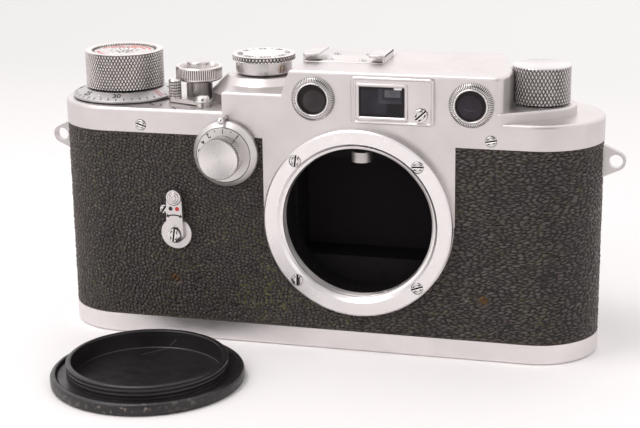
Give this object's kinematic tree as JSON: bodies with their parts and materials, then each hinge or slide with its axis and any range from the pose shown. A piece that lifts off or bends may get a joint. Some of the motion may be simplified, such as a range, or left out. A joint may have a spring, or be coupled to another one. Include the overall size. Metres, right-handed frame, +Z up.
{
  "type": "rangefinder camera",
  "caption": "Screw-mount rangefinder camera without a lens: leather-covered rounded body, satin metal top with knobs and dials, with its black body cap beside it.",
  "frame": {"origin": "middle of the base plate's underside, on the surface the camera stands on", "axes": "+X along the body towards the rewind knob, -Y out of the lens mount (front), +Z up"},
  "size_m": [0.1474, 0.0853, 0.0728],
  "materials": {
    "satin_chrome": "satin chrome plate",
    "bright_steel": "bright turned steel",
    "silver_scale": "matt silvered scale",
    "chassis": "blackened casting",
    "leather": "pebble grained",
    "black_paint": "matt black",
    "window_glass": "coated glass",
    "brass": "turned brass",
    "shutter_cloth": "rubberised cloth",
    "cap_plastic": "satin moulded"
  },
  "bodies": {
    "camera": {"body_shell": "chassis", "leather_cover": "leather", "top_cover": "satin_chrome", "lens_mount_ring": "satin_chrome", "lens_mount_screws": "bright_steel", "light_box": "black_paint", "shutter_crate": "black_paint", "shutter_drum": "brass", "spring_rollers": "bright_steel", "front_curtain": "shutter_cloth", "rear_curtain": "shutter_cloth", "film_gate": "black_paint", "pressure_plate": "black_paint", "wind_bush": "brass", "release_sleeve": "satin_chrome", "release_collar": "satin_chrome", "release_spring": "bright_steel", "selector_screw": "bright_steel", "speed_shaft": "bright_steel", "slow_index_post": "bright_steel", "flash_base": "satin_chrome", "flash_screws": "bright_steel", "window_glasses": "window_glass", "window_bezels": "satin_chrome", "viewfinder_frame": "satin_chrome", "viewfinder_glass": "window_glass", "viewfinder_screw": "bright_steel", "viewfinder_tube": "black_paint", "eyepieces": "black_paint", "eyepiece_glasses": "window_glass", "sync_socket": "bright_steel", "rangefinder_prism": "window_glass", "accessory_shoe": "satin_chrome", "cover_screws": "bright_steel", "leather_screws": "brass", "strap_lugs": "satin_chrome"},
    "winding": {"wind_knob": "satin_chrome", "wind_shaft": "bright_steel", "reminder_disc": "silver_scale", "wind_hub_screw": "bright_steel"},
    "frame_counter": {"counter_disc": "silver_scale"},
    "take_up": {"take_up_spool": "black_paint"},
    "sprocket": {"sprocket_shaft": "bright_steel"},
    "release": {"release_button": "bright_steel"},
    "selector": {"selector_lever": "satin_chrome", "selector_pillar": "satin_chrome"},
    "dial_lifter": {"speed_sleeve": "satin_chrome"},
    "speed_dial": {"speed_dial": "silver_scale"},
    "slow_dial": {"slow_dial": "silver_scale", "slow_dial_knob": "satin_chrome"},
    "flash_lever": {"flash_lever": "satin_chrome"},
    "rewind_spindle": {"rewind_shaft": "bright_steel"},
    "rewind_knob": {"rewind_knob": "satin_chrome"},
    "follower": {"rangefinder_follower": "brass"},
    "roller": {"rangefinder_roller": "bright_steel"},
    "base": {"base_plate": "satin_chrome", "tripod_bush": "brass"},
    "lock_key": {"base_lock_key": "satin_chrome"},
    "key_handle": {"key_handle": "satin_chrome"},
    "cap": {"body_cap": "cap_plastic"}
  },
  "joints": [
    {"name": "wind_turn", "type": "hinge", "parent": "camera", "child": "winding", "pos_m": [-0.05335, 0, 0.0592], "axis": [0, 0, 1], "continuous": true},
    {"name": "counter_turn", "type": "hinge", "parent": "camera", "child": "frame_counter", "pos_m": [-0.05335, 0, 0.0592], "axis": [0, 0, 1], "continuous": true},
    {"name": "spool_turn", "type": "hinge", "parent": "camera", "child": "take_up", "pos_m": [-0.05335, 0, 0.03], "axis": [0, 0, 1], "continuous": true},
    {"name": "sprocket_turn", "type": "hinge", "parent": "camera", "child": "sprocket", "pos_m": [-0.03335, 0, 0.03], "axis": [0, 0, 1], "continuous": true},
    {"name": "release_press", "type": "slide", "parent": "camera", "child": "release", "axis": [0, 0, -1], "range_m": [0, 0.0022], "stiffness_N_per_m": 400, "springref_m": -0.001, "deforming": ["release_spring"]},
    {"name": "selector_turn", "type": "hinge", "parent": "camera", "child": "selector", "pos_m": [-0.02935, -0.0095, 0.06], "axis": [0, 0, 1], "range_deg": [0, 35]},
    {"name": "dial_lift", "type": "slide", "parent": "camera", "child": "dial_lifter", "axis": [0, 0, 1], "range_m": [0, 0.0015], "stiffness_N_per_m": 300, "springref_m": -0.001},
    {"name": "dial_turn", "type": "hinge", "parent": "dial_lifter", "child": "speed_dial", "pos_m": [-0.01675, 0.002, 0.07], "axis": [0, 0, 1], "range_deg": [-160, 160]},
    {"name": "slow_dial_turn", "type": "hinge", "parent": "camera", "child": "slow_dial", "pos_m": [-0.02127, -0.0156, 0.04916], "axis": [0, -1, 0], "range_deg": [0, 140]},
    {"name": "flash_swing", "type": "hinge", "parent": "camera", "child": "flash_lever", "pos_m": [-0.03485, -0.0175, 0.028], "axis": [0, -1, 0], "range_deg": [-20, 20]},
    {"name": "rewind_turn", "type": "hinge", "parent": "camera", "child": "rewind_spindle", "pos_m": [0.0531, 0, 0.062], "axis": [0, 0, 1], "continuous": true},
    {"name": "rewind_pull", "type": "slide", "parent": "rewind_spindle", "child": "rewind_knob", "axis": [0, 0, 1], "range_m": [0, 0.006]},
    {"name": "follower_swing", "type": "hinge", "parent": "camera", "child": "follower", "pos_m": [0.034, -0.007, 0.052], "axis": [0, 0, -1], "range_deg": [0, 9], "stiffness_Nm_per_rad": 0.02, "springref_deg": -17.19},
    {"name": "roller_spin", "type": "hinge", "parent": "follower", "child": "roller", "pos_m": [0.0115, -0.011, 0.04883], "axis": [0, 0, 1], "continuous": true},
    {"name": "base_swing", "type": "hinge", "parent": "camera", "child": "base", "pos_m": [-0.0685, 0, 0.0051], "axis": [0, 1, 0], "range_deg": [0, 60]},
    {"name": "lock_key_turn", "type": "hinge", "parent": "base", "child": "lock_key", "pos_m": [0.0531, 0, 0.001], "axis": [0, 0, 1], "range_deg": [0, 90]},
    {"name": "handle_flip", "type": "hinge", "parent": "lock_key", "child": "key_handle", "pos_m": [0.0531, 0, 0.00063], "axis": [1, 0, 0], "range_deg": [0, 90]},
    {"name": "cap_lift", "type": "slide", "parent": "camera", "child": "cap", "axis": [0, 0, 1], "range_m": [0, 0.03]}
  ],
  "couplings": [
    {"joint": "counter_turn", "follows": "wind_turn", "ratio": 0.025},
    {"joint": "spool_turn", "follows": "wind_turn", "ratio": 1},
    {"joint": "sprocket_turn", "follows": "wind_turn", "ratio": -1}
  ]
}
